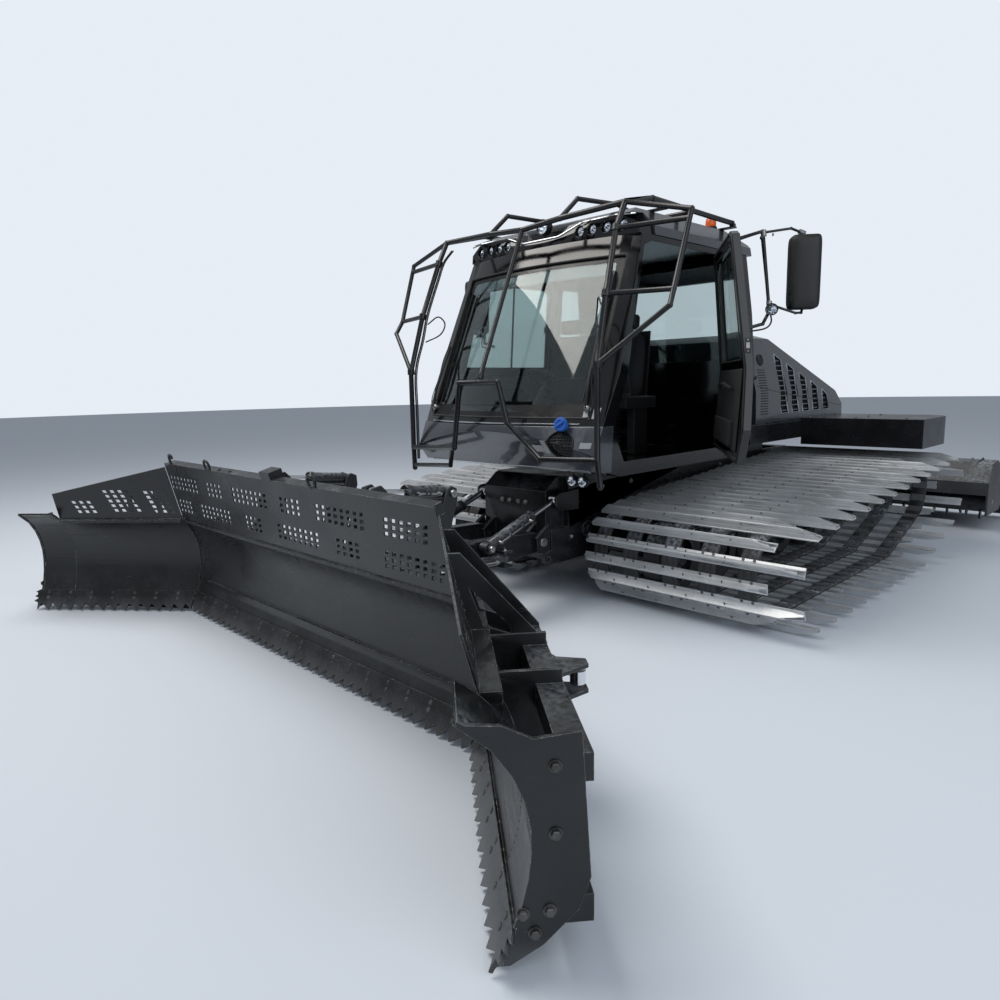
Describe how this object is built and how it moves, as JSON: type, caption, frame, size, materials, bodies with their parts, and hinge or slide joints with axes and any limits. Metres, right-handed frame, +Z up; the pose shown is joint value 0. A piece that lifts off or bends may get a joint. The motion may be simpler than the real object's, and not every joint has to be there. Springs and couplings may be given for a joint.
{
  "type": "snow groomer",
  "caption": "Tracked snow groomer with a glazed cab in a tube guard, a hydraulic front blade with swinging wings, and a lifted rear tiller with a finisher flap.",
  "frame": {"origin": "on the ground, below the centre of the whole machine's box", "axes": "+X forward, towards the blade; +Y to the machine's left; +Z up"},
  "size_m": [9.1988, 5.6742, 3.147],
  "materials": {
    "frame_black": "semi gloss black paint on steel",
    "blade_black": "satin black paint, scratched by snow",
    "cab_black": "gloss black paint",
    "body_grey": "metallic dark grey paint",
    "tiller_grey": "dusty dark grey paint",
    "track_alloy": "worn bright crossbars on black rubber belts",
    "tyre": "matte black solid rubber",
    "engine_metal": "painted casting",
    "rod_chrome": "ground and plated rod",
    "lamp_lens": "clear lens over a bright reflector",
    "cab_glass": "tinted safety glass",
    "seat_fabric": "black woven seat cover",
    "cab_plastic": "grained dark plastic",
    "flap_rubber": "matte rubber flap"
  },
  "bodies": {
    "chassis": {"chassis_frame": "frame_black", "wheel_arms": "frame_black", "wheel_rims": "frame_black", "wheel_tyres": "tyre", "track_left": "track_alloy", "track_right": "track_alloy", "engine_block": "engine_metal", "rear_deck": "frame_black", "cab_shell": "cab_black", "cab_panels": "body_grey", "cab_lamps": "lamp_lens", "cab_glass": "cab_glass", "guard_cage": "frame_black", "seats": "seat_fabric", "console": "cab_plastic"},
    "door_left": {"door_left": "cab_black", "door_left_glass": "cab_glass"},
    "door_right": {"door_right": "cab_black", "door_right_glass": "cab_glass"},
    "hood": {"engine_hood": "body_grey"},
    "lift_frame": {"lift_frame": "frame_black"},
    "lift_barrels": {"lift_barrels": "frame_black"},
    "lift_rods": {"lift_rods": "rod_chrome"},
    "angle_head": {"angle_head": "frame_black"},
    "angle_barrel_left": {"angle_barrel_left": "frame_black"},
    "angle_rod_left": {"angle_rod_left": "rod_chrome"},
    "angle_barrel_right": {"angle_barrel_right": "frame_black"},
    "angle_rod_right": {"angle_rod_right": "rod_chrome"},
    "tilt_head": {"tilt_head": "frame_black"},
    "pitch_barrels": {"pitch_barrels": "frame_black"},
    "pitch_rods": {"pitch_rods": "rod_chrome"},
    "blade": {"blade_centre": "blade_black", "snow_guard": "blade_black"},
    "wing_left": {"wing_left": "blade_black"},
    "wing_right": {"wing_right": "blade_black"},
    "wing_barrel_left": {"wing_barrel_left": "frame_black"},
    "wing_rod_left": {"wing_rod_left": "rod_chrome"},
    "wing_barrel_right": {"wing_barrel_right": "frame_black"},
    "wing_rod_right": {"wing_rod_right": "rod_chrome"},
    "rear_lift": {"rear_lift": "frame_black"},
    "rear_barrels": {"rear_barrels": "frame_black"},
    "rear_rods": {"rear_rods": "rod_chrome"},
    "tiller": {"tiller_hood": "tiller_grey", "finisher": "flap_rubber"},
    "tiller_rotor": {"tiller_rotor": "frame_black"}
  },
  "joints": [
    {"name": "door_left_hinge", "type": "hinge", "parent": "chassis", "child": "door_left", "pos_m": [0.1, 1.015, 1.8], "axis": [0, 0, 1], "range_deg": [-35, 50]},
    {"name": "door_right_hinge", "type": "hinge", "parent": "chassis", "child": "door_right", "pos_m": [0.1, -1.015, 1.8], "axis": [0, 0, -1], "range_deg": [0, 85]},
    {"name": "hood_hinge", "type": "hinge", "parent": "chassis", "child": "hood", "pos_m": [-2.642, 0, 1.3], "axis": [0, -1, 0], "range_deg": [0, 50]},
    {"name": "blade_lift", "type": "hinge", "parent": "chassis", "child": "lift_frame", "pos_m": [1.76, 0, 0.52], "axis": [0, -1, 0], "range_deg": [-6, 28]},
    {"name": "lift_cylinder_swing", "type": "hinge", "parent": "lift_frame", "child": "lift_barrels", "pos_m": [2.38, 0, 0.585], "axis": [0, -1, 0], "range_deg": [-7.74, 2.44]},
    {"name": "lift_cylinder_stroke", "type": "slide", "parent": "lift_barrels", "child": "lift_rods", "axis": [-0.9454, 0, 0.3258], "range_m": [-0.14336, 0.03229]},
    {"name": "blade_angle", "type": "hinge", "parent": "lift_frame", "child": "angle_head", "pos_m": [2.76, 0, 0.5], "axis": [0, 0, 1], "range_deg": [-18, 18]},
    {"name": "angle_cylinder_left_swing", "type": "hinge", "parent": "lift_frame", "child": "angle_barrel_left", "pos_m": [2.24, 0.43, 0.49], "axis": [0, 0, 1], "range_deg": [-1.85, 1.85]},
    {"name": "angle_cylinder_left_stroke", "type": "slide", "parent": "angle_barrel_left", "child": "angle_rod_left", "axis": [0.9889, -0.1483, 0], "range_m": [-0.11039, 0.11039]},
    {"name": "angle_cylinder_right_swing", "type": "hinge", "parent": "lift_frame", "child": "angle_barrel_right", "pos_m": [2.24, -0.43, 0.49], "axis": [0, 0, 1], "range_deg": [-1.85, 1.85]},
    {"name": "angle_cylinder_right_stroke", "type": "slide", "parent": "angle_barrel_right", "child": "angle_rod_right", "axis": [0.9889, 0.1483, 0], "range_m": [-0.11039, 0.11039]},
    {"name": "blade_tilt", "type": "hinge", "parent": "angle_head", "child": "tilt_head", "pos_m": [2.96, 0, 0.49], "axis": [1, 0, 0], "range_deg": [-8, 8]},
    {"name": "blade_pitch", "type": "hinge", "parent": "tilt_head", "child": "blade", "pos_m": [3.33, 0, 0.3], "axis": [0, -1, 0], "range_deg": [-6, 6]},
    {"name": "pitch_cylinder_swing", "type": "hinge", "parent": "tilt_head", "child": "pitch_barrels", "pos_m": [2.88, 0, 1.06], "axis": [0, -1, 0], "range_deg": [-3, 3]},
    {"name": "pitch_cylinder_stroke", "type": "slide", "parent": "pitch_barrels", "child": "pitch_rods", "axis": [0.9939, 0, 0.1104], "range_m": [-0.08627, 0.08627]},
    {"name": "wing_left_hinge", "type": "hinge", "parent": "blade", "child": "wing_left", "pos_m": [3.51, 1.70432, 0.4], "axis": [0, 0, 1], "range_deg": [-2, 45]},
    {"name": "wing_cylinder_left_swing", "type": "hinge", "parent": "blade", "child": "wing_barrel_left", "pos_m": [3.2, 1.01, 0.523], "axis": [0, 0, 1], "range_deg": [-1.77, 18.43]},
    {"name": "wing_cylinder_left_stroke", "type": "slide", "parent": "wing_barrel_left", "child": "wing_rod_left", "axis": [0.3091, 0.951, 0], "range_m": [-0.13964, 0.00812]},
    {"name": "wing_right_hinge", "type": "hinge", "parent": "blade", "child": "wing_right", "pos_m": [3.51, -1.70432, 0.4], "axis": [0, 0, -1], "range_deg": [-2, 45]},
    {"name": "wing_cylinder_right_swing", "type": "hinge", "parent": "blade", "child": "wing_barrel_right", "pos_m": [3.2, -1.01, 0.523], "axis": [0, 0, -1], "range_deg": [-1.77, 18.43]},
    {"name": "wing_cylinder_right_stroke", "type": "slide", "parent": "wing_barrel_right", "child": "wing_rod_right", "axis": [0.3091, -0.951, 0], "range_m": [-0.13964, 0.00812]},
    {"name": "tiller_lift", "type": "hinge", "parent": "chassis", "child": "rear_lift", "pos_m": [-2.48, 0, 0.63], "axis": [0, 1, 0], "range_deg": [-4, 30]},
    {"name": "tiller_cylinder_swing", "type": "hinge", "parent": "chassis", "child": "rear_barrels", "pos_m": [-2.48, 0, 0.91], "axis": [0, 1, 0], "range_deg": [-4.53, 27.46]},
    {"name": "tiller_cylinder_stroke", "type": "slide", "parent": "rear_barrels", "child": "rear_rods", "axis": [-0.9037, 0, -0.4281], "range_m": [-0.14128, 0.02057]},
    {"name": "tiller_roll", "type": "hinge", "parent": "rear_lift", "child": "tiller", "pos_m": [-3.24, 0, 0.48], "axis": [1, 0, 0], "range_deg": [-8, 8]},
    {"name": "tiller_spin", "type": "hinge", "parent": "tiller", "child": "tiller_rotor", "pos_m": [-3.56, 0, 0.33], "axis": [0, 1, 0], "continuous": true}
  ],
  "couplings": [
    {"joint": "lift_cylinder_swing", "follows": "blade_lift", "ratio": -0.24082},
    {"joint": "lift_cylinder_stroke", "follows": "blade_lift", "m_per_rad": -0.28926},
    {"joint": "angle_cylinder_left_swing", "follows": "blade_angle", "ratio": 0.0471},
    {"joint": "angle_cylinder_left_stroke", "follows": "blade_angle", "m_per_rad": -0.34501},
    {"joint": "angle_cylinder_right_swing", "follows": "blade_angle", "ratio": 0.0471},
    {"joint": "angle_cylinder_right_stroke", "follows": "blade_angle", "m_per_rad": 0.34501},
    {"joint": "pitch_cylinder_swing", "follows": "blade_pitch", "ratio": 0.33262},
    {"joint": "pitch_cylinder_stroke", "follows": "blade_pitch", "m_per_rad": -0.80474},
    {"joint": "wing_cylinder_left_swing", "follows": "wing_left_hinge", "ratio": 0.38737},
    {"joint": "wing_cylinder_left_stroke", "follows": "wing_left_hinge", "m_per_rad": -0.17524},
    {"joint": "wing_cylinder_right_swing", "follows": "wing_right_hinge", "ratio": 0.38737},
    {"joint": "wing_cylinder_right_stroke", "follows": "wing_right_hinge", "m_per_rad": -0.17524},
    {"joint": "tiller_cylinder_swing", "follows": "tiller_lift", "ratio": 0.88186},
    {"joint": "tiller_cylinder_stroke", "follows": "tiller_lift", "m_per_rad": -0.266}
  ]
}
